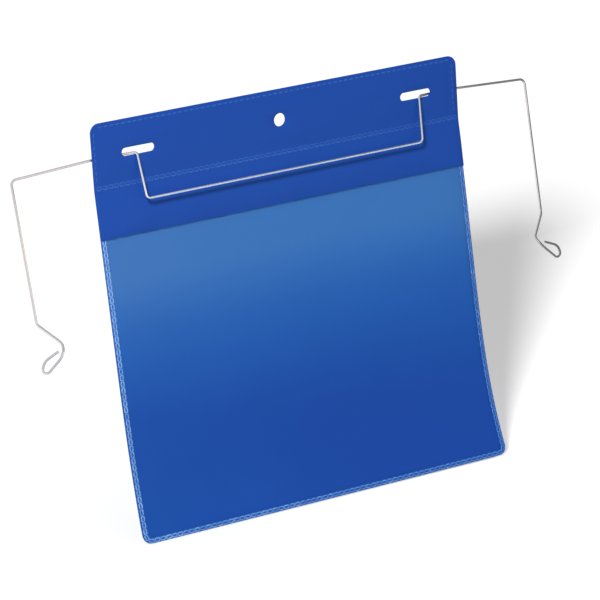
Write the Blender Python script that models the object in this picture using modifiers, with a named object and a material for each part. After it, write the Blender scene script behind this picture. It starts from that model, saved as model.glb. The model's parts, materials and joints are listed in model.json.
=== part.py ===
"""Hanging document pocket: a welded sheet pocket with a clear front and a bent wire hanger.

X runs across the pocket, the front faces -Y and Z is up. The origin is the centre of the
hang hole, on the front face of the back sheet.
"""

import math

import bmesh
import bpy
from mathutils import Vector

MM = 0.001

# Sheet sizes; every drop is measured down along the sheet from its top edge
WIDTH = 223 * MM
LENGTH = 218 * MM
CORNER_RADIUS = 5 * MM
SHEET = 0.35 * MM
FILM = 0.25 * MM
LAYER_GAP = 0.3 * MM
CREASE_DROP = 34.4 * MM
FLAP_DROP = 60 * MM
MOUTH_DROP = 48 * MM
WELD_BORDER = 6 * MM
WELD_SLOPE = 3 * MM
POCKET_ROOM = 0.3 * MM

# Cut-outs in the header
HOLE_DIAMETER = 7 * MM
HOLE_DROP = 16.2 * MM
SLOT_LENGTH = 19.4 * MM
SLOT_HEIGHT = 4.4 * MM
SLOT_X = 84.8 * MM
SLOT_DROP = 17.1 * MM
CUT_DEPTH = 6 * MM

# How the sheet hangs: flat header, a bend at the crease, and a curl towards the bottom edge
TILT = math.radians(6.2)
CREASE_WIDTH = 5 * MM
CURL_DROP = 110 * MM
CURL = math.radians(13.3)
TWIST = math.radians(5.7)
WALK = 0.5 * MM

# Wire hanger; its bends are given across, forward and down from the hinge line when it lies flat
WIRE = 1.4 * MM
WIRE_CLEARANCE = 0.15 * MM
HANGER_LEAN = math.radians(9.5)
LEG_FORWARD = 2.75 * MM
LEG_X = 86.3 * MM
BAR_X = 84.5 * MM
BAR_DOWN = 24.1 * MM
SLOT_EXIT_X = 93.6 * MM
ARM_STRAIGHT_X = 113 * MM
SHOULDER = (157.1 * MM, -1.2 * MM, 2.3 * MM)
DROP_END = (155.6 * MM, -0.8 * MM, 75.5 * MM)
HOOK_ELBOW = (145.7 * MM, 4.4 * MM, 86.8 * MM)
HOOK_BELLY = (147.5 * MM, 8.2 * MM, 91.9 * MM)
LOOP_LOW = (160.8 * MM, 5.0 * MM, 103.1 * MM)
LOOP_HIGH = (158.8 * MM, 6.6 * MM, 93.6 * MM)
WIRE_TIP = (150.0 * MM, 6.8 * MM, 90.0 * MM)

# Radii of the hanger's bends, along the middle of the wire
BAR_BEND = 2.4 * MM
LEG_BEND = 1.8 * MM
EXIT_BEND = 4 * MM
ARM_BEND = 20 * MM
SHOULDER_BEND = 3 * MM
DROP_BEND = 3.6 * MM
ELBOW_BEND = 3.7 * MM
BELLY_BEND = 8.6 * MM
LOOP_LOW_BEND = 2.1 * MM
LOOP_HIGH_BEND = 6.1 * MM

# Faces along the sheets, round the cut-outs and in a right-angled bend of the wire
BODY_COLUMNS = 8
CREASE_ROWS = 4
CURL_ROWS = 12
CORNER_STEPS = 5
HOLE_SIDES = 32
SLOT_END_STEPS = 6
ARC_STEPS = 5

# Surface colours, linear RGB
BLUE = (0.018, 0.089, 0.402)
CLEAR_BLUE = (0.10, 0.24, 0.55)
STEEL = (0.62, 0.60, 0.58)

HINGE_Y = SHEET + WIRE_CLEARANCE + WIRE / 2
HINGE_DROP = SLOT_DROP + SLOT_HEIGHT / 2 - WIRE_CLEARANCE - WIRE / 2
FLAP_LIFT = 2 * LAYER_GAP + POCKET_ROOM + FILM


def spread(start, end, count):
    """Return count + 1 evenly spaced values from start to end."""
    return [start + (end - start) * i / count for i in range(count + 1)]


def sheet_tilt(x, drop):
    """Angle that the hung sheet leans forward at a place on it."""
    bend = (drop - CREASE_DROP) / CREASE_WIDTH + 0.5
    curl = (drop - CURL_DROP) / (LENGTH - CURL_DROP)
    side = x / (WIDTH / 2)
    return TILT * min(max(bend, 0), 1) + (CURL + TWIST * side) * max(curl, 0) ** 2


def sheet_point(x, drop, lift):
    """Walk down the hung sheet and return the point that stands lift in front of it."""
    y, z, walked = 0.0, HOLE_DROP, 0.0
    while drop - walked > 1e-9:
        step = min(WALK, drop - walked)
        angle = sheet_tilt(x, walked + step / 2)
        y -= step * math.sin(angle)
        z -= step * math.cos(angle)
        walked += step
    angle = sheet_tilt(x, drop)
    return Vector((x, y - lift * math.cos(angle), z + lift * math.sin(angle)))


def new_material(name, colour, roughness, metallic=0.0, alpha=1.0):
    """Principled material of one finish."""
    material = bpy.data.materials.new(name)
    material.use_nodes = True
    shader = material.node_tree.nodes["Principled BSDF"]
    shader.inputs["Base Color"].default_value = (*colour, 1)
    shader.inputs["Roughness"].default_value = roughness
    shader.inputs["Metallic"].default_value = metallic
    shader.inputs["Alpha"].default_value = alpha
    material.diffuse_color = (*colour, alpha)
    return material


def new_collection(name):
    """Collection linked to the scene."""
    collection = bpy.data.collections.new(name)
    bpy.context.scene.collection.children.link(collection)
    return collection


def new_object(name, data, collection):
    """Object linked to a collection."""
    obj = bpy.data.objects.new(name, data)
    collection.objects.link(obj)
    return obj


def body_columns():
    """Lines across a sheet, with one beside each weld border."""
    edge = WIDTH / 2
    inner = edge - WELD_BORDER
    flat = inner - WELD_SLOPE
    return [-edge, -inner, *spread(-flat, flat, BODY_COLUMNS), inner, edge]


def crease_rows():
    """Lines down a sheet where it bends under the header."""
    return spread(CREASE_DROP - CREASE_WIDTH / 2, CREASE_DROP + CREASE_WIDTH / 2, CREASE_ROWS)


def curl_rows():
    """Lines down a sheet from where it starts to curl to its bottom edge."""
    inner = LENGTH - WELD_BORDER
    return [*spread(CURL_DROP, inner - WELD_SLOPE, CURL_ROWS), inner, LENGTH]


def hung_sheet(name, columns, rows, rounded_rows, lift, thickness, collection, material):
    """Sheet cut flat with rounded corners, hung along the pocket and given its thickness.

    A positive thickness grows forward from the lifted surface and a negative one backward.
    """
    bm = bmesh.new()
    bmesh.ops.create_grid(bm, x_segments=len(columns) - 1, y_segments=len(rows) - 1, size=1)
    for vert in bm.verts:
        column = round((vert.co.x + 1) / 2 * (len(columns) - 1))
        row = round((1 - vert.co.y) / 2 * (len(rows) - 1))
        vert.co = (columns[column], -rows[row], 0)
    corners = [v for v in bm.verts if len(v.link_faces) == 1
               and any(abs(v.co.y + row) < WALK for row in rounded_rows)]
    if corners:
        bmesh.ops.bevel(bm, geom=corners, offset=CORNER_RADIUS, offset_type='OFFSET',
                        segments=CORNER_STEPS, profile=0.5, affect='VERTICES')
    for vert in bm.verts:
        x, drop = vert.co.x, -vert.co.y
        vert.co = sheet_point(x, drop, lift(x, drop))
    mesh = bpy.data.meshes.new(name)
    bm.to_mesh(mesh)
    bm.free()
    mesh.materials.append(material)
    sheet = new_object(name, mesh, collection)
    wall = sheet.modifiers.new("thickness", 'SOLIDIFY')
    wall.thickness = abs(thickness)
    wall.offset = math.copysign(1, thickness)
    wall.use_even_offset = True
    return sheet


def cut(sheet, cutters):
    """Cut a sheet with each cutter."""
    for cutter in cutters:
        difference = sheet.modifiers.new(cutter.name, 'BOOLEAN')
        difference.operation = 'DIFFERENCE'
        difference.solver = 'EXACT'
        difference.object = cutter


def as_cutter(obj):
    """Mark an object as a cutter."""
    obj.hide_render = True
    obj.display_type = 'WIRE'
    return obj


def hole_cutter(collection):
    """Round punch for the hang hole."""
    bm = bmesh.new()
    bmesh.ops.create_cone(bm, cap_ends=True, segments=HOLE_SIDES, depth=CUT_DEPTH,
                          radius1=HOLE_DIAMETER / 2, radius2=HOLE_DIAMETER / 2)
    mesh = bpy.data.meshes.new("hole_punch")
    bm.to_mesh(mesh)
    bm.free()
    punch = new_object("hole_punch", mesh, collection)
    punch.rotation_euler.x = math.pi / 2
    return as_cutter(punch)


def slot_cutter(name, x, collection):
    """Punch with round ends for a hanger slot."""
    bm = bmesh.new()
    bmesh.ops.create_cube(bm, size=1)
    bmesh.ops.scale(bm, vec=(SLOT_LENGTH, CUT_DEPTH, SLOT_HEIGHT), verts=bm.verts)
    through = [e for e in bm.edges if abs(e.verts[0].co.y - e.verts[1].co.y) > CUT_DEPTH / 2]
    bmesh.ops.bevel(bm, geom=through, offset=SLOT_HEIGHT * 0.499, offset_type='OFFSET',
                    segments=SLOT_END_STEPS, profile=0.5, affect='EDGES')
    mesh = bpy.data.meshes.new(name)
    bm.to_mesh(mesh)
    bm.free()
    punch = new_object(name, mesh, collection)
    punch.location = (x, 0, HOLE_DROP - SLOT_DROP)
    return as_cutter(punch)


def window_lift(x, drop):
    """The clear film is tight to the back sheet at its welds and stands off inside them."""
    to_side = WIDTH / 2 - abs(x)
    to_edge = min(to_side, LENGTH - drop)
    rise = min(max((to_edge - WELD_BORDER) / WELD_SLOPE, 0), 1)
    return LAYER_GAP + POCKET_ROOM * rise


def flap_lift(x, drop):
    """The flap leaves the header at the crease and clears the film's mouth below it."""
    rise = min((drop - CREASE_DROP) / (MOUTH_DROP - CREASE_DROP), 1)
    return LAYER_GAP + (FLAP_LIFT - LAYER_GAP) * rise


def header_lift(x, drop):
    """The header facing lies on the back sheet."""
    return LAYER_GAP


def back_lift(x, drop):
    """The back sheet's front face is the reference for the other layers."""
    return 0.0


def build_back_sheet(collection, cutters, material):
    """Back sheet, the full size of the pocket."""
    rows = [0, CREASE_DROP / 2, *crease_rows(), *curl_rows()]
    sheet = hung_sheet("back_sheet", body_columns(), rows, (0, LENGTH), back_lift, -SHEET,
                       collection, material)
    cut(sheet, cutters)


def build_header_facing(collection, cutters, material):
    """Front layer of the header, down to its lower weld at the crease."""
    rows = [0, CREASE_DROP / 2, *crease_rows()[:CREASE_ROWS // 2], CREASE_DROP - LAYER_GAP / 2]
    facing = hung_sheet("header_facing", body_columns(), rows, (0,), header_lift, SHEET,
                        collection, material)
    cut(facing, cutters)


def build_rain_flap(collection, material):
    """Flap that hangs from the crease over the pocket's mouth, with its origin on the crease."""
    top = CREASE_DROP + LAYER_GAP / 2
    rows = [top, *crease_rows()[CREASE_ROWS // 2 + 1:], *spread(MOUTH_DROP, FLAP_DROP, 2)]
    flap = hung_sheet("rain_flap", body_columns(), rows, (), flap_lift, SHEET, collection,
                      material)
    hinge = sheet_point(0, CREASE_DROP, LAYER_GAP + SHEET / 2)
    for vert in flap.data.vertices:
        vert.co -= hinge
    flap.location = hinge


def build_front_window(collection, material):
    """Clear film welded to the back sheet at its sides and bottom, open at the top."""
    rows = [MOUTH_DROP, (MOUTH_DROP + CURL_DROP) / 2, *curl_rows()]
    hung_sheet("front_window", body_columns(), rows, (LENGTH,), window_lift, FILM, collection,
               material)


def rounded_path(bends):
    """Polyline through (point, radius) bends, with each inner bend turned into an arc."""
    path = [bends[0][0]]
    for before, (corner, radius), after in zip(bends, bends[1:], bends[2:]):
        back = (before[0] - corner).normalized()
        ahead = (after[0] - corner).normalized()
        half = back.angle(ahead) / 2
        reach = radius / math.tan(half)
        centre = corner + (back + ahead).normalized() * (radius / math.sin(half))
        start = corner + back * reach - centre
        sweep = math.pi - 2 * half
        axis = start.cross(corner + ahead * reach - centre).normalized()
        steps = max(2, round(ARC_STEPS * sweep / (math.pi / 2)))
        side = axis.cross(start)
        for turn in spread(0, sweep, steps):
            path.append(centre + start * math.cos(turn) + side * math.sin(turn))
    path.append(bends[-1][0])
    return path


def hanger_bends():
    """Bends of the flat hanger from its left tip to its right tip, each with a radius."""
    right = [
        ((BAR_X, LEG_FORWARD, BAR_DOWN), BAR_BEND),
        ((LEG_X, LEG_FORWARD, 0.0), LEG_BEND),
        ((SLOT_EXIT_X, 0.0, 0.0), EXIT_BEND),
        ((ARM_STRAIGHT_X, 0.0, 0.0), ARM_BEND),
        (SHOULDER, SHOULDER_BEND),
        (DROP_END, DROP_BEND),
        (HOOK_ELBOW, ELBOW_BEND),
        (HOOK_BELLY, BELLY_BEND),
        (LOOP_LOW, LOOP_LOW_BEND),
        (LOOP_HIGH, LOOP_HIGH_BEND),
        (WIRE_TIP, 0.0),
    ]
    left = [((-x, forward, down), radius) for (x, forward, down), radius in reversed(right)]
    return [(Vector((x, -forward, -down)), radius) for (x, forward, down), radius in left + right]


def build_wire_hanger(collection, material):
    """Hanger bent from one wire; it turns on its arms, which lie behind the header."""
    path = rounded_path(hanger_bends())
    curve = bpy.data.curves.new("wire_hanger", 'CURVE')
    curve.dimensions = '3D'
    curve.bevel_depth = WIRE / 2
    curve.bevel_resolution = 2
    curve.use_fill_caps = True
    spline = curve.splines.new('POLY')
    spline.points.add(len(path) - 1)
    for point, place in zip(spline.points, path):
        point.co = (*place, 1)
    curve.materials.append(material)
    hanger = new_object("wire_hanger", curve, collection)
    hanger.location = (0, HINGE_Y, HOLE_DROP - HINGE_DROP)
    hanger.rotation_euler.x = -HANGER_LEAN


def main():
    """Build the pocket."""
    for obj in list(bpy.data.objects):
        bpy.data.objects.remove(obj)
    parts = new_collection("hanging_document_pocket")
    punches = new_collection("cutters")
    cutters = [
        hole_cutter(punches),
        slot_cutter("left_slot_punch", -SLOT_X, punches),
        slot_cutter("right_slot_punch", SLOT_X, punches),
    ]
    blue_sheet = new_material("blue_sheet", BLUE, 0.45)
    build_back_sheet(parts, cutters, blue_sheet)
    build_header_facing(parts, cutters, new_material("header_sheet", BLUE, 0.45))
    build_rain_flap(parts, new_material("flap_sheet", BLUE, 0.45))
    build_front_window(parts, new_material("clear_film", CLEAR_BLUE, 0.12, alpha=0.4))
    build_wire_hanger(parts, new_material("bright_steel", STEEL, 0.22, metallic=1.0))


main()
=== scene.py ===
"""Looks of the hanging document pocket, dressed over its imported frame.

X runs across the pocket, the front faces -Y and Z is up, in metres. A sheet is first cut and shaped
flat, as on a bench: X across, Y minus the drop from the top edge, Z the height over the back sheet's
front face. It is then hung along the pocket's curve.
"""

import json
import logging
import math
from dataclasses import dataclass, field
from enum import Enum
from typing import Iterable, Sequence, Union

import bmesh
import bpy
import numpy as np
from mathutils import Matrix, Vector


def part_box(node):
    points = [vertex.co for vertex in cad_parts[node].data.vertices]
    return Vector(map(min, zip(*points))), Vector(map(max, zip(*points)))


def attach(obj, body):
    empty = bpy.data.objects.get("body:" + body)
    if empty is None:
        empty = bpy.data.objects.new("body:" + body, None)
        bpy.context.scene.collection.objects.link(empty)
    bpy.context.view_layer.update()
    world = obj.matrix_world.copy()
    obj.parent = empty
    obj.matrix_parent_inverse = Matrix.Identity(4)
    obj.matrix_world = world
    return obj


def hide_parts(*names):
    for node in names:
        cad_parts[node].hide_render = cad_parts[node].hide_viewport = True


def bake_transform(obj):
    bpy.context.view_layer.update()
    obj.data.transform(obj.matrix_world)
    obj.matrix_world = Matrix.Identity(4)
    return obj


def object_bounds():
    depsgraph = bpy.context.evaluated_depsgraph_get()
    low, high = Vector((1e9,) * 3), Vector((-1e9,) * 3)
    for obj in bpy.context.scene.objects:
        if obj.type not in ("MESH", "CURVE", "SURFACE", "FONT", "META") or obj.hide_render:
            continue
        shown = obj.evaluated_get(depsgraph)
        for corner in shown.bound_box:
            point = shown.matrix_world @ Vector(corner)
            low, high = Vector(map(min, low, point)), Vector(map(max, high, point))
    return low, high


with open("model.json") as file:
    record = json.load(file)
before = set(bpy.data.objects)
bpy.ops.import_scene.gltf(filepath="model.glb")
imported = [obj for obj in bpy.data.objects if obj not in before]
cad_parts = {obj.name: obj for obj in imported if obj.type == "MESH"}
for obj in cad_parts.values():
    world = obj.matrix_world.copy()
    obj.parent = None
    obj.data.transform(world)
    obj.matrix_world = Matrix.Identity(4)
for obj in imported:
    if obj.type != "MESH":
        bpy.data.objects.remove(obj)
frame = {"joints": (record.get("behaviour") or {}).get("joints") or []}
CAD_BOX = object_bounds()

LOG = logging.getLogger("document_pocket")
MM = 0.001
WHITE = (1.0, 1.0, 1.0)
BLACK = (0.0, 0.0, 0.0)

Colour = tuple[float, float, float]
Operand = Union["Value", int, float]
Edges = list[bmesh.types.BMEdge]


def grey(level: float) -> tuple[float, float, float, float]:
    """An opaque grey."""
    return (level, level, level, 1.0)


def ease(value: np.ndarray) -> np.ndarray:
    """Smooth step of a value from 0 to 1."""
    clipped = np.clip(value, 0.0, 1.0)
    return clipped * clipped * (3.0 - 2.0 * clipped)


def steps(start: float, end: float, pace: float) -> list[float]:
    """Return evenly spaced values from start to end, about one pace apart.

    Args:
        start: First value.
        end: Last value.
        pace: Wanted distance between values.

    Returns:
        The values, both ends included.
    """
    count = max(1, round((end - start) / pace))
    return [start + (end - start) * i / count for i in range(count + 1)]


def direction(azimuth: float, height: float) -> Vector:
    """Direction seen from the pocket.

    Args:
        azimuth: Angle from the front, positive to the right, in degrees.
        height: Angle over the horizon, in degrees.

    Returns:
        A vector of length 1.
    """
    turn, rise = math.radians(azimuth), math.radians(height)
    return Vector((math.sin(turn) * math.cos(rise), -math.cos(turn) * math.cos(rise), math.sin(rise)))


def verts_of(geometry: Iterable) -> list[bmesh.types.BMVert]:
    """The vertices among an operator's results."""
    return [item for item in geometry if isinstance(item, bmesh.types.BMVert)]


def edges_of(geometry: Iterable) -> Edges:
    """The edges among an operator's results."""
    return [item for item in geometry if isinstance(item, bmesh.types.BMEdge)]


class Body(Enum):
    """Bodies of the frame that pieces ride on."""

    POCKET = "pocket"
    FLAP = "flap"
    HANGER = "hanger"


class LinkForm(Enum):
    """Forms that the weld tool presses into the sheets."""

    CHAIN = "chain"
    DASH = "dash"


class LampKind(Enum):
    """Kinds of lamp."""

    AREA = "AREA"
    SUN = "SUN"


class Lights(Enum):
    """What a lamp lights."""

    FLOOR = "INCLUDE"
    ALL_BUT_FLOOR = "EXCLUDE"


class Value:
    """A shader value, on which arithmetic adds Math nodes."""

    def __init__(self, shader: "Shader", socket: bpy.types.NodeSocket) -> None:
        """Wrap one output socket of a shader's nodes."""
        self.shader = shader
        self.socket = socket

    def _math(self, operation: str, first: Operand, second: Operand) -> "Value":
        """Add a Math node for two operands."""
        return self.shader.node("ShaderNodeMath", {"operation": operation}, {0: first, 1: second})

    def __add__(self, other: Operand) -> "Value":
        """Sum."""
        return self._math("ADD", self, other)

    def __sub__(self, other: Operand) -> "Value":
        """Difference."""
        return self._math("SUBTRACT", self, other)

    def __rsub__(self, other: Operand) -> "Value":
        """Difference from a number."""
        return self._math("SUBTRACT", other, self)

    def __mul__(self, other: Operand) -> "Value":
        """Product."""
        return self._math("MULTIPLY", self, other)

    def __truediv__(self, other: Operand) -> "Value":
        """Quotient."""
        return self._math("DIVIDE", self, other)

    def __pow__(self, other: Operand) -> "Value":
        """Power."""
        return self._math("POWER", self, other)

    __radd__ = __add__
    __rmul__ = __mul__

    def most(self, other: Operand) -> "Value":
        """The larger of two values."""
        return self._math("MAXIMUM", self, other)

    def least(self, other: Operand) -> "Value":
        """The smaller of two values."""
        return self._math("MINIMUM", self, other)

    def share(self) -> "Value":
        """The value, held between 0 and 1."""
        return self.least(1.0).most(0.0)


class Shader:
    """The node tree of one material or world."""

    def __init__(self, owner: "bpy.types.Material | bpy.types.World") -> None:
        """Empty the owner's node tree."""
        owner.use_nodes = True
        self.tree = owner.node_tree
        self.tree.nodes.clear()

    def node(
        self,
        kind: str,
        settings: "dict | None" = None,
        inputs: "dict | None" = None,
        output: "str | int" = 0,
    ) -> Value:
        """Add one node.

        Args:
            kind: The node's type.
            settings: Properties of the node.
            inputs: Values or links of its sockets, by name or number.
            output: The socket that is returned.

        Returns:
            The node's output as a value.
        """
        made = self.tree.nodes.new(kind)
        for name, setting in (settings or {}).items():
            setattr(made, name, setting)
        for name, given in (inputs or {}).items():
            if isinstance(given, Value):
                self.tree.links.new(given.socket, made.inputs[name])
            else:
                made.inputs[name].default_value = given
        return Value(self, made.outputs[output]) if len(made.outputs) else Value(self, None)

    def place(self, axis: str) -> Value:
        """Place on the piece along one axis, in metres."""
        spot = self.node("ShaderNodeTexCoord", output="Object")
        return self.node("ShaderNodeSeparateXYZ", None, {0: spot}, axis)

    def noise(self, cells: float, detail: float) -> Value:
        """Noise over the piece, with its cells per metre."""
        spot = self.node("ShaderNodeTexCoord", output="Object")
        inputs = {"Vector": spot, "Scale": cells, "Detail": detail, "Roughness": 0.5}
        return self.node("ShaderNodeTexNoise", {"noise_dimensions": "3D"}, inputs)

    @staticmethod
    def vary(mean: float, spread: float, pattern: Value) -> Value:
        """A value that a pattern from 0 to 1 varies round its mean."""
        return mean - spread + 2 * spread * pattern

    def mix(self, share: Operand, first: "Value | Colour", second: "Value | Colour") -> Value:
        """Blend two colours."""
        colours = [c if isinstance(c, Value) else (*c, 1.0) for c in (first, second)]
        inputs = {0: share, 6: colours[0], 7: colours[1]}
        return self.node("ShaderNodeMix", {"data_type": "RGBA"}, inputs, 2)

    def bump(self, height: Value, distance: float, strength: float) -> Value:
        """Bump from a height from 0 to 1, with its depth in metres."""
        inputs = {"Height": height, "Distance": distance, "Strength": strength}
        return self.node("ShaderNodeBump", None, inputs)

    def principled(self, inputs: dict) -> Value:
        """Principled surface."""
        return self.node("ShaderNodeBsdfPrincipled", None, inputs)

    def blend(self, share: Value, first: Value, second: Value) -> Value:
        """Blend two surfaces."""
        return self.node("ShaderNodeMixShader", None, {0: share, 1: first, 2: second})

    def light_path(self, *rays: str) -> Value:
        """1 for any of the named kinds of ray, and 0 for the others."""
        found = [self.node("ShaderNodeLightPath", output=ray) for ray in rays]
        total = found[0]
        for ray in found[1:]:
            total = total.most(ray)
        return total

    def shown(self) -> Value:
        """1 for rays that the eye or a reflection follows, and 0 for the others."""
        return self.light_path("Is Camera Ray", "Is Glossy Ray", "Is Transmission Ray")

    def end(self, surface: Value, world: bool = False) -> None:
        """Send a shader to the output."""
        kind = "ShaderNodeOutputWorld" if world else "ShaderNodeOutputMaterial"
        self.node(kind, None, {"Surface": surface})


@dataclass(frozen=True)
class Finish:
    """A procedural finish.

    Attributes:
        name: Name of its material.
    """

    name: str

    def build(self) -> bpy.types.Material:
        """Return the material."""
        material = bpy.data.materials.new(self.name)
        shader = Shader(material)
        shader.end(self.surface(shader))
        return material

    def surface(self, shader: Shader) -> Value:
        """Add the finish's nodes and return its surface."""
        raise NotImplementedError


@dataclass(frozen=True)
class SheetFinish(Finish):
    """Opaque blue sheet with a fine satin grain.

    Attributes:
        colour: Base colour, linear.
        pale: Colour of the sheet's lighter mottling, linear.
        roughness: Mean roughness.
        gloss: Level of its mirroring.
        sheen: Hue of its mirroring, linear.
        grain: Depth of the embossed grain.
        cells: Cells per metre of its mottling, its clouding and its grain.
    """

    colour: Colour = (0.012, 0.0625, 0.362)
    pale: Colour = (0.015, 0.0735, 0.398)
    roughness: float = 0.46
    gloss: float = 0.14
    sheen: Colour = (0.35, 0.85, 1.0)
    grain: float = 0.012 * MM
    cells: tuple[float, float, float] = (28.0, 140.0, 2600.0)

    def surface(self, shader: Shader) -> Value:
        """Return the mottled, grained sheet."""
        mottle, cloud = shader.noise(self.cells[0], 3.0), shader.noise(self.cells[1], 3.0)
        fine = shader.noise(self.cells[2], 2.0)
        return shader.principled({
            "Base Color": shader.mix(mottle * 0.7 + fine * 0.3, self.colour, self.pale),
            "Roughness": shader.vary(self.roughness, 0.06, cloud),
            "Normal": shader.bump(fine, self.grain, 0.35),
            "Specular IOR Level": self.gloss,
            "Specular Tint": (*self.sheen, 1.0),
        })


@dataclass(frozen=True)
class WeldFinish(Finish):
    """Sheet or film clouded by the heat and pressure of the weld tool, painted lighter to the left and
    up as a highlight.

    Attributes:
        colour: Base colour, linear.
        cloudy: Colour where the weld is whitest, linear.
        highlight_drift: How much lighter it gets per metre to the left and per metre up: a painted
            highlight on the lamp's side.
        patchy: How much its cloudiness varies from place to place.
        mean: Mean cloudiness.
        middle: Height where the painted highlight's rise upwards is nil.
        gloss: Level of its mirroring.
        sheen: Hue of its mirroring, linear.
        roughness: Mean roughness.
        grain: Depth of its grain.
        cells: Cells per metre of its patches and of its grain.
    """

    colour: Colour
    cloudy: Colour
    highlight_drift: tuple[float, float] = (0.0, 0.0)
    patchy: float = 1.4
    mean: float = 0.47
    middle: float = -100 * MM
    gloss: float = 0.2
    sheen: Colour = (0.6, 0.85, 1.0)
    roughness: float = 0.34
    grain: float = 0.01 * MM
    cells: tuple[float, float] = (420.0, 3200.0)

    def surface(self, shader: Shader) -> Value:
        """Return the patchy weld, lighter to the left and up as a painted highlight."""
        patches, fine = shader.noise(self.cells[0], 2.0), shader.noise(self.cells[1], 2.0)
        left, up = -1 * shader.place("X"), shader.place("Z") - self.middle
        # Besides its random patches, the weld is painted lighter to the left and up: a highlight on the
        # lamp's side.
        share = (patches - 0.5) * self.patchy + self.mean + left * self.highlight_drift[0] + up * self.highlight_drift[1]
        return shader.principled({
            "Base Color": shader.mix(share.share(), self.colour, self.cloudy),
            "Roughness": shader.vary(self.roughness, 0.08, fine),
            "Normal": shader.bump(fine, self.grain, 0.3),
            "Specular IOR Level": self.gloss,
            "Specular Tint": (*self.sheen, 1.0),
        })


@dataclass(frozen=True)
class FilmFinish(Finish):
    """Clear glossy film, which mirrors a little and lets the rest through.

    Attributes:
        sheen: Colour of what it mirrors, linear.
        ior: Refractive index that gives both faces' mirroring together.
        roughness: Mean roughness.
        ripple: Depth of its ripples.
        cells: Cells per metre of its smears and of its ripples.
    """

    sheen: Colour = (0.28, 0.90, 1.0)
    ior: float = 1.8
    roughness: float = 0.12
    ripple: float = 0.05 * MM
    cells: tuple[float, float] = (55.0, 24.0)

    def surface(self, shader: Shader) -> Value:
        """Return the film, which hides nothing from lamps and scattered light."""
        smear, wave = shader.noise(self.cells[0], 3.0), shader.noise(self.cells[1], 1.0)
        gloss = shader.principled({
            "Base Color": (*self.sheen, 1.0),
            "Metallic": 1.0,
            "Roughness": shader.vary(self.roughness, 0.03, smear),
            "Normal": shader.bump(wave, self.ripple, 0.12),
        })
        mirrored = shader.node("ShaderNodeFresnel", None, {"IOR": self.ior})
        behind = shader.node("ShaderNodeNewGeometry", output="Backfacing")
        lit = shader.light_path("Is Shadow Ray", "Is Diffuse Ray")
        clear = shader.node("ShaderNodeBsdfTransparent")
        return shader.blend(mirrored * (1 - behind) * (1 - lit), clear, gloss)


@dataclass(frozen=True)
class SteelFinish(Finish):
    """Bright drawn steel wire, painted bluer between the slots as a reflection of the blue sheet.

    Attributes:
        colour: Base colour, linear.
        dull: Colour of the drawing marks, linear.
        sheet_reflection_tint: What these are multiplied by between the slots: a painted reflection of
            the blue sheet close behind.
        reach: Distance from the middle where that ends.
        fade: Length over which it ends.
        roughness: Mean roughness.
        grain: Depth of its fine grain.
        cells: Cells per metre of the drawing marks and of the grain.
    """

    colour: Colour = (0.755, 0.74, 0.735)
    dull: Colour = (0.61, 0.595, 0.59)
    sheet_reflection_tint: Colour = (0.965, 1.07, 1.2)
    reach: float = 92 * MM
    fade: float = 8 * MM
    roughness: float = 0.2
    grain: float = 0.004 * MM
    cells: tuple[float, float] = (900.0, 5200.0)

    def surface(self, shader: Shader) -> Value:
        """Return the marked metal, with the sheet's painted blue reflection between the slots."""
        marks, fine = shader.noise(self.cells[0], 3.0), shader.noise(self.cells[1], 2.0)
        across = shader.place("X")
        # Between the slots the colours are tinted blue: a painted reflection of the sheet close behind
        # the wire.
        inside = ((self.reach ** 2 - across * across) / (self.reach * self.fade)).share()
        tones = [
            shader.mix(inside, tone, tuple(part * gain for part, gain in zip(tone, self.sheet_reflection_tint)))
            for tone in (self.colour, self.dull)
        ]
        return shader.principled({
            "Base Color": shader.mix(marks, *tones),
            "Metallic": 1.0,
            "Roughness": shader.vary(self.roughness, 0.08, marks),
            "Normal": shader.bump(fine, self.grain, 0.2),
        })


@dataclass(frozen=True)
class FloorFinish(Finish):
    """Plain pale floor, lighter to the eye and in reflections than for the light that it throws back.

    Attributes:
        seen: Brightness that is seen and mirrored.
        glow: Light of its own that is seen and mirrored, which keeps the shadow pale.
        thrown: Brightness for the light that it throws on the pocket.
    """

    seen: float = 0.9
    glow: float = 0.2
    thrown: float = 0.5

    def surface(self, shader: Shader) -> Value:
        """Return the floor."""
        pale = shader.node("ShaderNodeBsdfDiffuse", None, {"Color": grey(self.seen)})
        glow = shader.node("ShaderNodeEmission", None, {"Strength": self.glow})
        white = shader.node("ShaderNodeAddShader", None, {0: pale, 1: glow})
        dim = shader.node("ShaderNodeBsdfDiffuse", None, {"Color": grey(self.thrown)})
        return shader.blend(shader.shown(), dim, white)


@dataclass(frozen=True)
class CardFinish(Finish):
    """Graduated card: black at its foot, blue further up and white from a given height.

    Attributes:
        dark: Height where it is darkest.
        white: Height from which it is white.
        strength: Its strength there.
        falloff: Power of the fall from white to black.
        tint: Hue of its dark half, linear.
        warm: Hue of its white half at the left end, linear.
        left_span: Width over which it goes from its left end's look to its right end's.
        left_gain: Share that its left end is brighter.
        left_glow: Share of that strength which stays at the foot of its left end.
    """

    dark: float = -150 * MM
    white: float = -53 * MM
    strength: float = 1.28
    falloff: float = 0.92
    tint: Colour = (0.15, 1.0, 1.8)
    warm: Colour = (1.45, 1.12, 1.0)
    left_span: float = 160 * MM
    left_gain: float = 0.05
    left_glow: float = 0.15

    def surface(self, shader: Shader) -> Value:
        """Return the glowing card."""
        left = (0.5 - shader.place("X") / self.left_span).share()
        risen = (shader.place("Z") - self.dark) / (self.white - self.dark) + self.left_gain * left
        bright = (risen.share() ** self.falloff).most(self.left_glow * left)
        hue = shader.mix(bright, self.tint, shader.mix(left, WHITE, self.warm))
        inputs = {"Color": shader.mix(bright, BLACK, hue), "Strength": self.strength}
        return shader.node("ShaderNodeEmission", None, inputs)


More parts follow.
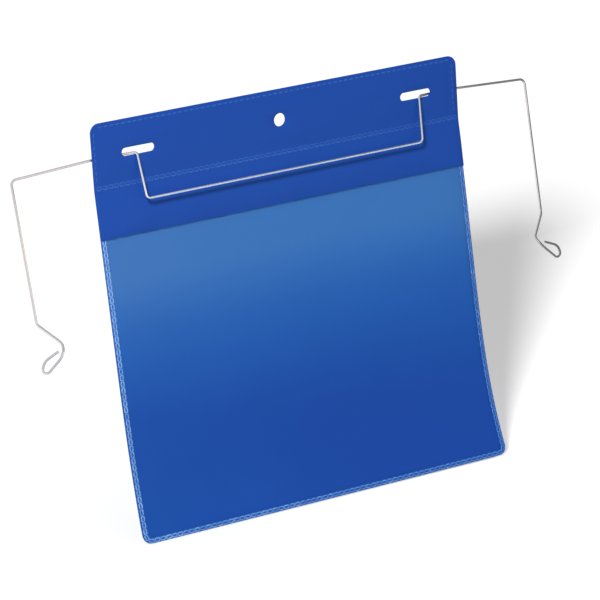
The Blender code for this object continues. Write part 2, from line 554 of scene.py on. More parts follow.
@dataclass(frozen=True)
class DarkCardFinish(Finish):
    """Dark card that the wire mirrors.

    Attributes:
        level: Brightness of the card.
    """

    level: float

    def surface(self, shader: Shader) -> Value:
        """Return the dim card."""
        return shader.node("ShaderNodeEmission", None, {"Color": grey(self.level), "Strength": 1.0})


@dataclass(frozen=True)
class Posture:
    """Outline of the sheets and how they hang: a flat header, a bend at the crease and a curl below.

    Attributes:
        width: Width of the pocket.
        top: Height of its top edge.
        length: Length along the sheet.
        corner: Radius of the rounded corners.
        mouth_drop: Drop of the film's mouth.
        crease_drop: Drop of the crease.
        crease_width: Length over which the sheet bends there.
        tilt: Forward lean below the crease.
        curl_drop: Drop where the curl starts.
        curl: Further lean at the bottom edge.
        twist: Difference of that lean from the middle to the right edge.
    """

    width: float
    top: float
    length: float = 218 * MM
    corner: float = 5 * MM
    mouth_drop: float = 48 * MM
    crease_drop: float = 34.4 * MM
    crease_width: float = 5 * MM
    tilt: float = math.radians(6.2)
    curl_drop: float = 110 * MM
    curl: float = math.radians(13.3)
    twist: float = math.radians(5.7)

    @classmethod
    def of_frame(cls) -> "Posture":
        """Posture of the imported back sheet."""
        low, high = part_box("back_sheet")
        return cls(width=high.x - low.x, top=high.z)

    def lean(self, across: np.ndarray, drop: np.ndarray) -> np.ndarray:
        """Angle that the sheet leans forward at places on it."""
        bend = np.clip((drop - self.crease_drop) / self.crease_width + 0.5, 0.0, 1.0)
        curl = np.clip((drop - self.curl_drop) / (self.length - self.curl_drop), 0.0, None)
        side = across / (self.width / 2)
        return self.tilt * bend + (self.curl + self.twist * side) * curl ** 2

    def hang(self, flat: np.ndarray) -> np.ndarray:
        """Hang flat points along the pocket's curve.

        Args:
            flat: Rows of across, minus drop and height over the back sheet's front face.

        Returns:
            The same points in the frame.
        """
        paces = 240
        across, drop, height = flat[:, 0], -flat[:, 1], flat[:, 2]
        pace = (drop / paces)[:, None]
        walked = pace * (np.arange(paces) + 0.5)
        leans = self.lean(across[:, None], walked)
        lean = self.lean(across, drop)
        forward = -(np.sin(leans) * pace).sum(axis=1) - height * np.cos(lean)
        up = self.top - (np.cos(leans) * pace).sum(axis=1) + height * np.sin(lean)
        return np.stack([across, forward, up], axis=1)

    def to_edge(self, across: np.ndarray, drop: np.ndarray) -> np.ndarray:
        """Distance to the nearer side edge or to the bottom edge."""
        return np.minimum(self.width / 2 - np.abs(across), self.length - drop)


@dataclass(frozen=True)
class Cutouts:
    """Hole and slots punched through the header.

    Attributes:
        hole_radius: Radius of the round hang hole.
        hole_drop: Its drop.
        slot_length: Length of a hanger slot.
        slot_height: Height of a slot.
        slot_across: Distance of a slot's middle from the pocket's middle.
        slot_drop: Drop of the slots.
    """

    hole_radius: float = 3.5 * MM
    hole_drop: float = 16.2 * MM
    slot_length: float = 19.4 * MM
    slot_height: float = 4.4 * MM
    slot_across: float = 84.8 * MM
    slot_drop: float = 17.1 * MM

    def outline(self, bm: bmesh.types.BMesh) -> None:
        """Add the outlines of the hole and the slots to a flat sheet."""
        at_hole = Matrix.Translation((0, -self.hole_drop, 0))
        bmesh.ops.create_circle(bm, segments=48, radius=self.hole_radius, matrix=at_hole)
        for side in (-1, 1):
            end = bmesh.ops.create_circle(bm, segments=32, radius=self.slot_height / 2)["verts"]
            reach = (self.slot_length - self.slot_height) / 2
            for vert in end:
                if abs(vert.co.x) > 1e-6:
                    vert.co.x += math.copysign(reach, vert.co.x)
            middle = (side * self.slot_across, -self.slot_drop, 0)
            bmesh.ops.translate(bm, vec=middle, verts=end)


class Piece:
    """A piece that ends as one object at the origin, riding on a body of the frame."""

    @staticmethod
    def coordinates(bm: bmesh.types.BMesh) -> np.ndarray:
        """Places of a mesh's vertices."""
        return np.array([vert.co for vert in bm.verts], float).reshape(-1, 3)

    @staticmethod
    def move(bm: bmesh.types.BMesh, places: np.ndarray) -> None:
        """Give a mesh's vertices new places."""
        for vert, place in zip(bm.verts, places):
            vert.co = place

    @staticmethod
    def to_object(
        bm: bmesh.types.BMesh, name: str, finishes: Iterable[Finish], sharp: float
    ) -> bpy.types.Object:
        """Turn a mesh into an object.

        Args:
            bm: The mesh, which is freed.
            name: Name of the object.
            finishes: Its finishes.
            sharp: Angle from which an edge stays sharp, in degrees.

        Returns:
            The object, linked to the scene.
        """
        mesh = bpy.data.meshes.new(name)
        bm.to_mesh(mesh)
        bm.free()
        for finish in finishes:
            mesh.materials.append(finish.build())
        mesh.shade_smooth()
        mesh.set_sharp_from_angle(angle=math.radians(sharp))
        made = bpy.data.objects.new(name, mesh)
        bpy.context.scene.collection.objects.link(made)
        return made


@dataclass
class HungSheet(Piece):
    """A sheet cut flat, given its thickness and hung along the pocket.

    Attributes:
        posture: How the sheets hang.
        name: Name of the piece.
        first_drop: Drop of its upper edge.
        last_drop: Drop of its lower edge.
        thickness: Thickness of the sheet.
        rounded: Whether its upper and its lower corners are rounded.
        edge: Rounding of its cut edges.
        twist_share: Share of the width over which evenly spaced lines let it twist.
        twist_pace: Distance between those lines.
        weld_pace: Distance between the lines along a weld.
        crease_reach: Distance from the crease over which close lines let it bend.
        crease_pace: Distance between those lines.
        curl_pace: Distance between the lines along the curl.
    """

    posture: Posture
    name: str
    first_drop: float
    last_drop: float
    thickness: float
    rounded: tuple[bool, bool] = (True, True)
    edge: float = 0.06 * MM
    twist_share: float = 0.9
    twist_pace: float = 20 * MM
    weld_pace: float = 2 * MM
    crease_reach: float = 4 * MM
    crease_pace: float = 0.8 * MM
    curl_pace: float = 3 * MM

    def lift(self, across: np.ndarray, drop: np.ndarray) -> np.ndarray:
        """Height of the sheet's rear face over the back sheet's front face."""
        raise NotImplementedError

    def attach(self, made: bpy.types.Object) -> None:
        """Ride the hung sheet on its body, in place of its solid."""
        raise NotImplementedError

    def front(self, across: np.ndarray, drop: np.ndarray) -> np.ndarray:
        """Height of the sheet's front face over the back sheet's front face."""
        return self.lift(across, drop) + self.thickness

    def build(self, finish: Finish, cutouts: "Cutouts | None" = None) -> bpy.types.Object:
        """Cut, hang and dress the sheet.

        Args:
            finish: Its finish.
            cutouts: What is punched through it.

        Returns:
            The piece.
        """
        bm = self.blank(cutouts)
        self.score(bm)
        self.thicken(bm)
        flat = self.coordinates(bm)
        flat[:, 2] += self.lift(flat[:, 0], -flat[:, 1])
        self.move(bm, self.posture.hang(flat))
        made = self.to_object(bm, self.name, [finish], sharp=40.0)
        self.attach(made)
        return made

    def blank(self, cutouts: "Cutouts | None") -> bmesh.types.BMesh:
        """Cut the flat blank.

        Args:
            cutouts: What is punched out of it.

        Returns:
            The blank as one flat sheet of faces.
        """
        ends = (self.first_drop, self.last_drop)
        rounded = [drop for drop, is_round in zip(ends, self.rounded) if is_round]
        bm = bmesh.new()
        bmesh.ops.create_grid(bm, x_segments=1, y_segments=1, size=0.5)
        length = self.last_drop - self.first_drop
        bmesh.ops.scale(bm, vec=(self.posture.width, length, 1), verts=bm.verts)
        bmesh.ops.translate(bm, vec=(0, -sum(ends) / 2, 0), verts=bm.verts)
        corners = [v for v in bm.verts if any(abs(v.co.y + drop) < MM for drop in rounded)]
        bmesh.ops.bevel(
            bm, geom=corners, offset=self.posture.corner, offset_type="OFFSET", affect="VERTICES",
            segments=10, profile=0.5, material=-1,
        )
        if cutouts:
            bmesh.ops.delete(bm, geom=bm.faces[:], context="FACES_ONLY")
            cutouts.outline(bm)
            bmesh.ops.triangle_fill(bm, use_beauty=True, edges=bm.edges[:], normal=(0, 0, 1))
        bmesh.ops.recalc_face_normals(bm, faces=bm.faces[:])
        if bm.faces[0].normal.z < 0:
            bmesh.ops.reverse_faces(bm, faces=bm.faces[:])
        return bm

    def score(self, bm: bmesh.types.BMesh) -> None:
        """Part the blank's faces along its columns and rows, so that it can bend there."""
        lines = [((across, 0, 0), (1, 0, 0)) for across in self.columns()]
        lines += [((0, -drop, 0), (0, 1, 0)) for drop in self.rows()]
        for place, normal in lines:
            geometry = bm.verts[:] + bm.edges[:] + bm.faces[:]
            bmesh.ops.bisect_plane(bm, geom=geometry, dist=1e-7, plane_co=place, plane_no=normal)

    def thicken(self, bm: bmesh.types.BMesh) -> None:
        """Give the blank its thickness upwards and round its cut edges."""
        bmesh.ops.solidify(bm, geom=bm.faces[:], thickness=self.thickness)
        lowest = min(vert.co.z for vert in bm.verts)
        bmesh.ops.translate(bm, vec=(0, 0, -lowest), verts=bm.verts)
        rim = [e for e in bm.edges if e.is_manifold and e.calc_face_angle() > math.radians(60)]
        level = [e for e in rim if abs(e.verts[0].co.z - e.verts[1].co.z) < self.thickness / 2]
        bmesh.ops.bevel(
            bm, geom=level, offset=self.edge, offset_type="OFFSET", affect="EDGES",
            segments=2, profile=0.5, material=-1, clamp_overlap=True,
        )

    def border(self) -> list[float]:
        """Distances from an edge between which the sheet leaves its weld."""
        return []

    def columns(self) -> list[float]:
        """Places of the lines that run down the sheet: along its side welds and where it twists."""
        half = self.posture.width / 2
        edges = [side * (half - inset) for side in (-1, 1) for inset in self.border()]
        even = half * self.twist_share
        return edges + steps(-even, even, self.twist_pace)

    def rows(self) -> list[float]:
        """Drops at which the sheet bends: close at the crease and along the curl."""
        hang, reach = self.posture, self.crease_reach
        crease = steps(hang.crease_drop - reach, hang.crease_drop + reach, self.crease_pace)
        curl = steps(hang.curl_drop, hang.length - self.curl_pace, self.curl_pace)
        return [drop for drop in crease + curl if self.first_drop < drop < self.last_drop]


@dataclass
class BackPanel(HungSheet):
    """The full-size opaque back sheet."""

    def lift(self, across: np.ndarray, drop: np.ndarray) -> np.ndarray:
        """Height of the sheet's rear face, below its own front face."""
        return np.full_like(across, -self.thickness)

    def attach(self, made: bpy.types.Object) -> None:
        """Ride the sheet on the pocket."""
        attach(made, Body.POCKET.value)
        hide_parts("back_sheet")


@dataclass
class HeaderPanel(HungSheet):
    """Front sheet of the header, which goes on below the crease as a loose flap.

    Attributes:
        weld_lift: Height over the back sheet where the two are welded.
        slack_lift: Height between the welds.
        flap_lift: Height of the flap where it clears the film's mouth.
        weld_reach: Width of the weld along an edge.
        rise_lines: Distance of the first line that lets the flap rise below the crease, of the last
            below the film's mouth, and between them.
        bend: Distances below the crease between which the flap would start to follow its own body; their
            hung places are worked out but not used.
    """

    rounded: tuple[bool, bool] = (True, False)
    twist_share: float = 0.85
    weld_pace: float = 1.2 * MM
    weld_lift: float = 0.06 * MM
    slack_lift: float = 0.3 * MM
    flap_lift: float = 0.39 * MM
    weld_reach: float = 3.6 * MM
    rise_lines: tuple[float, float, float] = (5 * MM, 1 * MM, 1.5 * MM)
    bend: tuple[float, float] = (0.3 * MM, 4 * MM)

    def lift(self, across: np.ndarray, drop: np.ndarray) -> np.ndarray:
        """Height of the sheet's rear face over the back sheet."""
        crease = self.posture.crease_drop
        to_weld = np.minimum(self.posture.width / 2 - np.abs(across), drop)
        to_weld = np.minimum(to_weld, crease - drop)
        slack = ease((to_weld - self.weld_reach) / (2 * self.weld_reach))
        header = self.weld_lift + (self.slack_lift - self.weld_lift) * slack
        rise = ease((drop - crease) / (self.posture.mouth_drop - crease))
        return header + (self.flap_lift - self.weld_lift) * rise

    def border(self) -> list[float]:
        """Distances from an edge between which the sheet leaves its weld."""
        return steps(self.weld_reach, 3 * self.weld_reach, self.weld_pace)

    def rows(self) -> list[float]:
        """Drops at which the sheet bends: also along the welds and where the flap rises."""
        crease, border = self.posture.crease_drop, self.border()
        welds = border + [crease - inset for inset in border]
        first, last, pace = self.rise_lines
        rise = steps(crease + first, self.posture.mouth_drop + last, pace)
        return welds + rise + super().rows()

    def attach(self, made: bpy.types.Object) -> None:
        """Bake the header's place into its mesh and hide the solids of the header and the flap."""
        crease = self.posture.crease_drop
        start, end = self.posture.hang(np.array([[0, -crease - below, 0] for below in self.bend]))
        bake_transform(made)
        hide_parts("header_facing", "rain_flap")


@dataclass
class WindowFilm(HungSheet):
    """Clear film welded to the back sheet at its sides and bottom, open under the flap.

    Attributes:
        weld_lift: Height over the back sheet at the welds.
        pocket_lift: Height inside them.
        weld_reach: Width of a weld.
        weld_slope: Width over which the film leaves the weld.
    """

    rounded: tuple[bool, bool] = (False, True)
    twist_share: float = 0.7
    weld_lift: float = 0.05 * MM
    pocket_lift: float = 0.12 * MM
    weld_reach: float = 3 * MM
    weld_slope: float = 28 * MM

    def lift(self, across: np.ndarray, drop: np.ndarray) -> np.ndarray:
        """Height of the film's rear face over the back sheet."""
        inset = self.posture.to_edge(across, drop)
        room = ease((inset - self.weld_reach) / self.weld_slope)
        return self.weld_lift + (self.pocket_lift - self.weld_lift) * room

    def border(self) -> list[float]:
        """Distances from an edge between which the film leaves its weld."""
        return steps(self.weld_reach, self.weld_reach + self.weld_slope, self.weld_pace)

    def rows(self) -> list[float]:
        """Drops at which the film bends: also along its bottom weld."""
        return [self.last_drop - inset for inset in self.border()] + super().rows()

    def attach(self, made: bpy.types.Object) -> None:
        """Ride the film on the pocket."""
        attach(made, Body.POCKET.value)
        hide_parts("front_window")


@dataclass
class WeldSeam(Piece):
    """A row of links that the weld tool has pressed along a path over a sheet.

    Attributes:
        sheet: The sheet that it stands on.
        name: Name of the piece.
        path: Across and drop of the path's points.
        form: Form of the links.
        pitch: Distance from link to link.
        width: Width of a link.
        relief: Height of a link over the surface.
        ridge: Width of the raised outline along a chain link's sides.
        ends: Width of the outline at its ends, as a share of that.
        squareness: Power that makes its outline squarer than an ellipse, which has 1.
        shift: Shift of its opening to the left of the path, which widens its right side.
        fill: Share of the pitch that a link takes up.
        pad_top: Length and width of a dash's top, as shares of its foot.
        band: Width of the pressed strip under the links, or 0 for none.
        band_faces: Heights of the strip's rear and front faces over the surface.
    """

    sheet: HungSheet
    name: str
    path: Sequence[tuple[float, float]]
    form: LinkForm = LinkForm.CHAIN
    pitch: float = 3.35 * MM
    width: float = 2.4 * MM
    relief: float = 0.1 * MM
    ridge: float = 0.66 * MM
    ends: float = 0.5
    squareness: float = 0.62
    shift: float = 0.0
    fill: float = 0.92
    pad_top: tuple[float, float] = (0.8, 0.45)
    band: float = 0.0
    band_faces: tuple[float, float] = (-0.03 * MM, 0.02 * MM)

    def length(self) -> float:
        """Length of the path."""
        return float(np.linalg.norm(np.diff(np.array(self.path), axis=0), axis=1).sum())

    def stations(self, shares: np.ndarray) -> tuple[np.ndarray, np.ndarray]:
        """Flat places along the path, and its headings there.

        Args:
            shares: Shares of the path's length.

        Returns:
            Rows of X and Y, and angles from X.
        """
        points = np.array(self.path) * (1, -1)
        walked = np.r_[0.0, np.cumsum(np.linalg.norm(np.diff(points, axis=0), axis=1))]

        def place(way: np.ndarray) -> np.ndarray:
            """Flat places at distances along the path."""
            return np.stack([np.interp(way, walked, points[:, i]) for i in (0, 1)], axis=1)

        way, near = shares * walked[-1], 0.4 * MM
        ahead = place(way + near) - place(way - near)
        return place(way), np.arctan2(ahead[:, 1], ahead[:, 0])

    def _ring(self, bm: bmesh.types.BMesh, size: tuple[float, float, float]) -> None:
        """Add a ring of nearly straight sides and round ends, with a ridged top."""
        outer = bmesh.ops.create_circle(bm, segments=16, radius=1.0)["verts"]
        for vert in outer:
            vert.co = [math.copysign(abs(part) ** self.squareness, part) for part in vert.co]
        bmesh.ops.scale(bm, vec=size, verts=outer)
        outer_edges = list({edge for vert in outer for edge in vert.link_edges})
        loop = outer_edges
        for inset, height in ((self.ridge / 2, self.relief), (self.ridge, 0.0)):
            grown = bmesh.ops.extrude_edge_only(bm, edges=loop)["geom"]
            verts, loop = verts_of(grown), edges_of(grown)
            before = inset - self.ridge / 2
            along = (size[0] - inset * self.ends) / (size[0] - before * self.ends)
            bmesh.ops.scale(bm, vec=(along, (size[1] - inset) / (size[1] - before), 1), verts=verts)
            for vert in verts:
                vert.co.y += self.shift / 2
                vert.co.z = height
        bmesh.ops.bridge_loops(bm, edges=outer_edges + loop)

    def _pad(self, bm: bmesh.types.BMesh, size: tuple[float, float, float]) -> None:
        """Add a low oval pad."""
        base = bmesh.ops.create_circle(bm, cap_ends=True, segments=12, radius=1.0)["verts"]
        bmesh.ops.scale(bm, vec=size, verts=base)
        top = verts_of(bmesh.ops.extrude_face_region(bm, geom=[base[0].link_faces[0]])["geom"])
        bmesh.ops.translate(bm, vec=(0, 0, self.relief), verts=top)
        bmesh.ops.scale(bm, vec=(*self.pad_top, 1), verts=top)

    def _links(self, bm: bmesh.types.BMesh) -> None:
        """Add the links along the path."""
        count = max(1, round(self.length() / self.pitch))
        size = (self.length() / count * self.fill / 2, self.width / 2, 1)
        places, headings = self.stations((np.arange(count) + 0.5) / count)
        add = self._ring if self.form is LinkForm.CHAIN else self._pad
        for place, heading in zip(places, headings):
            before = set(bm.verts)
            add(bm, size)
            verts = [vert for vert in bm.verts if vert not in before]
            turn = Matrix.Translation((*place, 0)) @ Matrix.Rotation(heading, 4, "Z")
            bmesh.ops.transform(bm, matrix=turn, verts=verts)

    def _strip(self, bm: bmesh.types.BMesh) -> None:
        """Add the pressed strip along the path, with the second finish."""
        paces = round(self.length() / MM)
        rear, front = self.band_faces
        verts = bmesh.ops.create_grid(bm, x_segments=paces, y_segments=1, size=0.5)["verts"]
        places, headings = self.stations(np.array([vert.co.x + 0.5 for vert in verts]))
        for vert, place, heading in zip(verts, places, headings):
            side = vert.co.y * self.band
            across, up = place[0] - math.sin(heading) * side, place[1] + math.cos(heading) * side
            vert.co = (across, up, rear)
        top = verts_of(bmesh.ops.extrude_face_region(bm, geom=bm.faces[:])["geom"])
        bmesh.ops.translate(bm, vec=(0, 0, front - rear), verts=top)
        for face in bm.faces:
            face.material_index = 1

    def build(self, finishes: Sequence[WeldFinish], slot: str) -> bpy.types.Object:
        """Build and dress the row.

        Args:
            finishes: Finish of the links, and of the strip under them if there is one.
            slot: The record's material slot; not used.

        Returns:
            The piece.
        """
        bm = bmesh.new()
        if self.band:
            self._strip(bm)
        self._links(bm)
        bmesh.ops.recalc_face_normals(bm, faces=bm.faces[:])
        flat = self.coordinates(bm)
        flat[:, 2] += self.sheet.front(flat[:, 0], -flat[:, 1])
        self.move(bm, self.sheet.posture.hang(flat))
        made = self.to_object(bm, self.name, finishes, sharp=80.0)
        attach(made, Body.POCKET.value)
        return made


@dataclass
class WireHanger(Piece):
    """Hanger bent from one steel wire, threaded through the header's slots.

    Attributes:
        name: Name of the piece.
        radius: Radius of the wire.
        sides: Faces round the wire.
        pace: Angle of a bend from ring to ring, in degrees.
        lean: Forward lean of the whole hanger.
        right_half: Bends from the middle of the bar to the right tip, each with its place across,
            forward and down from the hinge line and its radius, in millimetres.
        rim: Steps that round a cut end, each with its advance in radii and its width.
    """

    name: str
    radius: float = 0.7 * MM
    sides: int = 20
    pace: float = 7.5
    lean: float = math.radians(9.5)
    right_half: tuple[tuple[float, float, float, float], ...] = (
        (84.5, 2.75, 24.1, 2.4),
        (86.3, 2.75, 0.0, 1.8),
        (93.6, 0.0, 0.0, 4.0),
        (113.0, 0.0, 0.0, 20.0),
        (157.1, -1.2, 2.3, 3.0),
        (155.6, -0.8, 75.5, 3.6),
        (145.7, 4.4, 86.8, 3.7),
        (147.5, 8.2, 91.9, 8.6),
        (160.8, 5.0, 103.1, 2.1),
        (158.8, 6.6, 93.6, 6.1),
        (150.0, 6.8, 90.0, 0.0),
    )
    rim: tuple[tuple[float, float], ...] = ((0.25, 1.0), (0.12, 0.78))

    def route(self) -> list[tuple[Vector, float]]:
        """Bends from the left tip to the right tip in the frame, each with its radius."""
        joint = next(j for j in frame["joints"] if j["name"] == "hanger_swing")
        place = Matrix.Translation(joint["pos_m"]) @ Matrix.Rotation(-self.lean, 4, "X")
        left = tuple((-x, *rest) for x, *rest in reversed(self.right_half))
        return [
            (place @ (Vector((x, -forward, -down)) * MM), bend * MM)
            for x, forward, down, bend in left + self.right_half
        ]

    def build(self, finish: SteelFinish) -> bpy.types.Object:
        """Bend and dress the wire.

        Args:
            finish: Finish of the wire.

        Returns:
            The piece.
        """
        route = self.route()
        bm = bmesh.new()
        first, second = route[0][0], route[1][0]
        facing = (second - first).to_track_quat("Z", "Y").to_matrix().to_4x4()
        ring = bmesh.ops.create_circle(
            bm, segments=self.sides, radius=self.radius, matrix=Matrix.Translation(first) @ facing
        )["verts"]
        loop = list({edge for vert in ring for edge in vert.link_edges})
        self._close_end(bm, loop, first - second)
        here = first
        for before, (corner, bend), after in zip(route, route[1:], route[2:]):
            arrive, leave, centre, axis, sweep = self._arc(before[0], corner, after[0], bend)
            loop = self._run(bm, loop, arrive - here)
            loop = self._turn(bm, loop, centre, axis, sweep)
            here = leave
        loop = self._run(bm, loop, route[-1][0] - here)
        self._close_end(bm, loop, route[-1][0] - route[-2][0])
        bmesh.ops.remove_doubles(bm, verts=bm.verts[:], dist=1e-6)
        bmesh.ops.recalc_face_normals(bm, faces=bm.faces[:])
        made = self.to_object(bm, self.name, [finish], sharp=50.0)
        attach(made, Body.HANGER.value)
        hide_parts("wire_hanger")
        return made

    @staticmethod
    def _arc(
        before: Vector, corner: Vector, after: Vector, bend: float
    ) -> tuple[Vector, Vector, Vector, Vector, float]:
        """Arc that rounds a corner: where it starts and ends, its centre, axis and sweep."""
        back = (before - corner).normalized()
        ahead = (after - corner).normalized()
        half = back.angle(ahead) / 2
        reach = bend / math.tan(half)
        centre = corner + (back + ahead).normalized() * (bend / math.sin(half))
        arrive, leave = corner + back * reach, corner + ahead * reach
        axis = (arrive - centre).cross(leave - centre).normalized()
        return arrive, leave, centre, axis, math.pi - 2 * half

    @staticmethod
    def _run(bm: bmesh.types.BMesh, loop: Edges, way: Vector) -> Edges:
        """Draw the wire straight on and return its new end."""
        grown = bmesh.ops.extrude_edge_only(bm, edges=loop)["geom"]
        bmesh.ops.translate(bm, vec=way, verts=verts_of(grown))
        return edges_of(grown)

    def _turn(
        self, bm: bmesh.types.BMesh, loop: Edges, centre: Vector, axis: Vector, sweep: float
    ) -> Edges:
        """Bend the wire round a centre and return its new end."""
        paces = max(3, round(math.degrees(sweep) / self.pace))
        spun = bmesh.ops.spin(
            bm, geom=loop, cent=centre, axis=axis, angle=sweep, steps=paces, use_merge=False
        )
        return edges_of(spun["geom_last"])

    def _close_end(self, bm: bmesh.types.BMesh, loop: Edges, outward: Vector) -> None:
        """Close a cut end of the wire with a slightly rounded rim."""
        middle = sum((v.co for e in loop for v in e.verts), Vector()) / (2 * len(loop))
        for advance, width in self.rim:
            way = outward.normalized() * (self.radius * advance)
            loop = self._run(bm, loop, way)
            middle = middle + way
            for vert in {vert for edge in loop for vert in edge.verts}:
                vert.co = middle + (vert.co - middle) * width
        bmesh.ops.edgeloop_fill(bm, edges=loop)


@dataclass(frozen=True)
class Card:
    """An upright card of the stage that only reflections meet.

    Attributes:
        name: Name of the card.
        finish: Its finish.
        size: Its width and height.
        middle: Its middle.
        turn: Its turn from facing the front, in degrees.
    """

    name: str
    finish: Finish
    size: tuple[float, float]
    middle: tuple[float, float, float]
    turn: float = 0.0

    def stand(self) -> None:
        """Stand the card up on the stage."""
        bm = bmesh.new()
        bmesh.ops.create_grid(bm, x_segments=1, y_segments=1, size=0.5)
        upright = Matrix.Rotation(math.radians(self.turn), 4, "Z") @ Matrix.Rotation(math.pi / 2, 4, "X")
        place = Matrix.Translation(self.middle) @ upright @ Matrix.Diagonal((*self.size, 1, 1))
        bmesh.ops.transform(bm, matrix=place, verts=bm.verts)
        card = Piece.to_object(bm, self.name, [self.finish], sharp=30.0)
        card.visible_camera = False
        card.visible_diffuse = False
        card.visible_transmission = False
        card.visible_shadow = False


@dataclass(frozen=True)
class Lamp:
    """A lamp that faces the pocket.

    Attributes:
        name: Name of the lamp.
        kind: Kind of lamp.
        energy: Its power, or the strength of a sun.
        spread: Width of its face, or the angle of a sun.
        azimuth: Angle from the front, positive to the right, in degrees.
        height: Angle over the horizon, in degrees.
        distance: Distance from the point that it faces.
        lights: What it lights.
    """

    name: str
    kind: LampKind
    energy: float
    spread: float
    azimuth: float
    height: float
    distance: float
    lights: Lights

    def hang(self, middle: Vector, floor: bpy.types.Object) -> None:
        """Hang the lamp.

        Args:
            middle: The point that it faces.
            floor: The floor, which it lights alone or not at all.
        """
        data = bpy.data.lights.new(self.name, self.kind.value)
        data.energy = self.energy
        if self.kind is LampKind.SUN:
            data.angle = self.spread
        else:
            data.size = self.spread
        lamp = bpy.data.objects.new(self.name, data)
        away = direction(self.azimuth, self.height)
        lamp.location = middle + away * self.distance
        lamp.rotation_euler = away.to_track_quat("Z", "Y").to_euler()
        lamp.visible_camera = False
        lamp.visible_glossy = False
        bpy.context.scene.collection.objects.link(lamp)
        chosen = bpy.data.collections.new(self.name + "_lights")
        chosen.objects.link(floor)
        chosen.collection_objects[0].light_linking.link_state = self.lights.value
        lamp.light_linking.receiver_collection = chosen


@dataclass(frozen=True)
class Studio:
    """Pale floor, a graduated card for the film, dark cards for the wire, soft lamps and surroundings.

    Attributes:
        middle: Point that the lamps face.
        ambient: Strength of the even light from all round.
        floor_gap: Height of the hanging pocket's lowest point over the floor.
        floor_reach: Distance from the middle of the floor to its edges.
        floor_finish: Finish of the floor.
        cards: The cards: to the front for the film, and to the right and before the right hook.
        lamps: The lamps: for the pocket, for the floor with its shadow, and for the shadow's foot.
    """

    middle: tuple[float, float, float] = (0.0, 0.0, -80 * MM)
    ambient: float = 0.46
    floor_gap: float = 0.3 * MM
    floor_reach: float = 6.0
    floor_finish: FloorFinish = FloorFinish("pale_floor")
    cards: tuple[Card, ...] = (
        Card("graduated_card", CardFinish("card_glow"), (0.32, 0.19), (0.04, -0.12, -0.105)),
        Card("side_card", DarkCardFinish("card_grey", 0.26), (1.1, 0.85), (0.36, -0.1, 0.175), 90.0),
        Card("hook_card", DarkCardFinish("card_black", 0.23), (0.07, 0.13), (0.175, -0.03, -0.085)),
    )
    lamps: tuple[Lamp, ...] = (
        Lamp("pocket_lamp", LampKind.AREA, 19.5, 0.3, -45.0, 41.0, 1.5, Lights.ALL_BUT_FLOOR),
        Lamp("floor_lamp", LampKind.SUN, 5.2, math.radians(7.5), -42.2, 21.0, 3.0, Lights.FLOOR),
        Lamp("fill_lamp", LampKind.AREA, 0.15, 0.05, 55.0, -5.0, 0.25, Lights.FLOOR),
    )

    def build(self) -> None:
        """Build the floor, the cards, the lamps and the surroundings."""
        floor = self._floor()
        for card in self.cards:
            card.stand()
        for lamp in self.lamps:
            lamp.hang(Vector(self.middle), floor)
        self._surroundings()

    def _floor(self) -> bpy.types.Object:
        """Lay the floor under the lowest point of the pocket."""
        bm = bmesh.new()
        bmesh.ops.create_grid(bm, x_segments=2, y_segments=2, size=self.floor_reach)
        bmesh.ops.translate(bm, vec=(0, 0, CAD_BOX[0].z - self.floor_gap), verts=bm.verts)
        floor = Piece.to_object(bm, "floor", [self.floor_finish], sharp=30.0)
        return floor

    def _surroundings(self) -> None:
        """Even light from all round, and white for the eye and for reflections."""
        world = bpy.data.worlds.new("studio")
        bpy.context.scene.world = world
        shader = Shader(world)
        even = shader.node("ShaderNodeBackground", None, {"Strength": self.ambient})
        white = shader.node("ShaderNodeBackground", None, {"Strength": 1.0})
        shader.end(shader.blend(shader.shown(), even, white), world=True)


@dataclass(frozen=True)
class PhotoCamera:
    """Camera at the photograph's angle, for a square picture.

    Attributes:
        azimuth: Angle from the front, positive to the right, in degrees.
        elevation: Angle over the horizon, in degrees.
        roll: Turn of the camera about its own axis, clockwise seen from behind, in degrees.
        distance: Distance from the point that it aims at.
        aim: Point in the middle of the picture.
        focal_length: Focal length in millimetres.
        sensor: Sensor width in millimetres.
    """

    azimuth: float = -31.67
    elevation: float = 15.27
    roll: float = 3.54
    distance: float = 1.95
    aim: tuple[float, float, float] = (-9.97 * MM, -25.61 * MM, -89.74 * MM)
    focal_length: float = 226.74
    sensor: float = 36.0

    def build(self) -> None:
        """Set the camera up."""
        data = bpy.data.cameras.new("photo_camera")
        data.lens = self.focal_length
        data.sensor_width = self.sensor
        data.clip_end = 30.0
        camera = bpy.data.objects.new("photo_camera", data)
        away = direction(self.azimuth, self.elevation)
        camera.location = Vector(self.aim) + away * self.distance
        level = away.to_track_quat("Z", "Y").to_matrix()
        camera.rotation_euler = (level @ Matrix.Rotation(-math.radians(self.roll), 3, "Z")).to_euler()
        bpy.context.scene.collection.objects.link(camera)
        bpy.context.scene.camera = camera


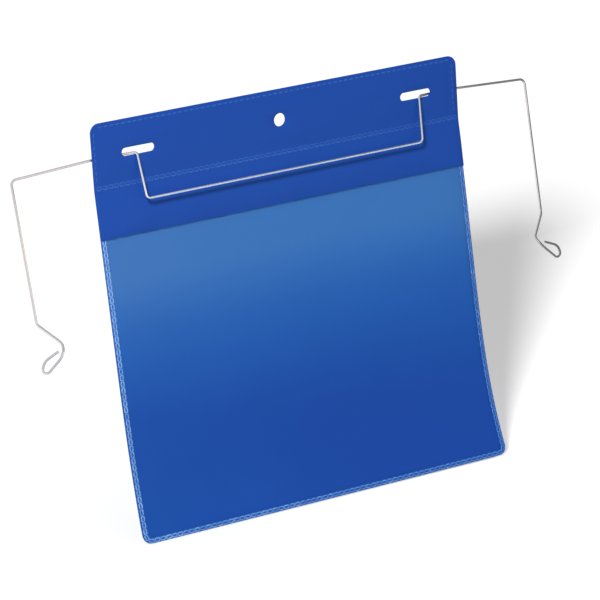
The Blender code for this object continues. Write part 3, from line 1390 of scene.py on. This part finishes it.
@dataclass
class DocumentPocket:
    """The whole pocket with its hanger.

    Attributes:
        posture: How the sheets hang.
        sheet: Thickness of the opaque sheets.
        film: Thickness of the clear film.
        flap_drop: Drop of the flap's lower edge.
        crease_row: Distance of the crease weld's middle above the crease.
        rim_inset: Distance of the rim welds' middles from the top, left and right edges.
        rim_end: Distance of the rim welds' ends from the header's corners.
        rim_gap: Distance of the side rim welds' lower ends above the crease weld.
        weld_end: Distance of the crease weld's ends from the sides, and of the window weld's ends
            from the film's mouth.
        seam_inset: Distance of the window weld's middle from the sides and from the bottom.
        pieces: The finished pieces.
    """

    posture: Posture
    sheet: float = 0.35 * MM
    film: float = 0.25 * MM
    flap_drop: float = 60 * MM
    crease_row: float = 1.0 * MM
    rim_inset: tuple[float, float, float] = (2.1 * MM, 1.6 * MM, 2.8 * MM)
    rim_end: float = 4 * MM
    rim_gap: float = 3 * MM
    weld_end: float = 1 * MM
    seam_inset: tuple[float, float] = (1.75 * MM, 1.4 * MM)
    pieces: list[bpy.types.Object] = field(default_factory=list)

    def build(self) -> None:
        """Build and dress every piece."""
        cutouts = Cutouts()
        hang = self.posture
        back = BackPanel(hang, "back_panel", 0.0, hang.length, self.sheet)
        # The back sheet is painted a little lighter than the header sheet, to make up for the light that
        # the film over it takes away.
        lightened_back_finish = SheetFinish("blue_back_sheet", (0.0131, 0.0675, 0.385), (0.0162, 0.0795, 0.425))
        self._add(back.build(lightened_back_finish, cutouts))
        header = HeaderPanel(hang, "header_panel", 0.0, self.flap_drop, self.sheet)
        self._add(header.build(SheetFinish("blue_header_sheet"), cutouts))
        film = WindowFilm(hang, "window_film", hang.mouth_drop, hang.length, self.film)
        self._add(film.build(FilmFinish("clear_window_film")))
        self._weld_header(header)
        self._weld_window(film)
        self._add(WireHanger("bent_wire").build(SteelFinish("drawn_steel")))

    def _add(self, piece: bpy.types.Object) -> None:
        """Keep a finished piece and report it."""
        self.pieces.append(piece)
        LOG.info("built %s with %d faces", piece.name, len(piece.data.polygons))

    def _weld_header(self, header: HeaderPanel) -> None:
        """Weld the header along the crease and round its rim."""
        half, row = self.posture.width / 2, self.posture.crease_drop - self.crease_row
        # The crease weld is painted lighter to the left: a highlight on the lamp's side.
        chain = WeldFinish("crease_weld_blue", (0.0165, 0.078, 0.395), (0.042, 0.152, 0.52), (1.2, 0.0))
        path = [(-half + self.weld_end, row), (half - self.weld_end, row)]
        crease = WeldSeam(header, "crease_weld", path, relief=0.06 * MM, shift=0.14 * MM, fill=0.88)
        self._add(crease.build([chain], "header_sheet"))
        top_dash = WeldFinish("top_weld_blue", (0.021, 0.094, 0.43), (0.042, 0.145, 0.52))
        side_dash = WeldFinish("side_weld_blue", (0.018, 0.082, 0.40), (0.032, 0.118, 0.46))
        first, last, end = self.rim_end, row - self.rim_gap, half - self.rim_end
        top, left, right = self.rim_inset[0], -half + self.rim_inset[1], half - self.rim_inset[2]
        rims = {
            "top_weld": ([(-end, top), (end, top)], top_dash),
            "left_header_weld": ([(left, first), (left, last)], side_dash),
            "right_header_weld": ([(right, first), (right, last)], side_dash),
        }
        for name, (path, finish) in rims.items():
            rim = WeldSeam(
                header, name, path, LinkForm.DASH, width=0.85 * MM, relief=0.08 * MM, fill=0.74
            )
            self._add(rim.build([finish], "header_sheet"))

    def _weld_window(self, film: WindowFilm) -> None:
        """Weld the film along the pocket's sides and bottom."""
        hang = self.posture
        side, bottom = self.seam_inset
        edge, low = hang.width / 2 - side, hang.length - bottom
        right = [(edge, hang.mouth_drop + self.weld_end)]
        for angle in steps(0, math.pi / 2, math.pi / 16):
            across = edge - (hang.corner - side) * (1 - math.cos(angle))
            right.append((across, low - (hang.corner - bottom) * (1 - math.sin(angle))))
        left = [(-across, drop) for across, drop in right]
        # Both window welds are painted lighter to the left and up: a highlight on the lamp's side.
        highlight_drift = (3.0, 3.0)
        links = WeldFinish("clouded_weld", (0.10, 0.265, 0.63), (0.32, 0.54, 0.91), highlight_drift, patchy=2.6)
        ground = WeldFinish("pressed_weld", (0.016, 0.082, 0.385), (0.046, 0.165, 0.50), highlight_drift)
        path = left + right[::-1]
        seam = WeldSeam(film, "window_weld", path, width=2.3 * MM, band=2.6 * MM)
        self._add(seam.build([links, ground], "clear_film"))


def main() -> None:
    """Build the pocket, its studio and its camera."""
    logging.basicConfig(level=logging.INFO)
    bpy.context.scene.view_settings.view_transform = "Standard"
    DocumentPocket(Posture.of_frame()).build()
    Studio().build()
    PhotoCamera().build()


if __name__ == "__main__":
    main()
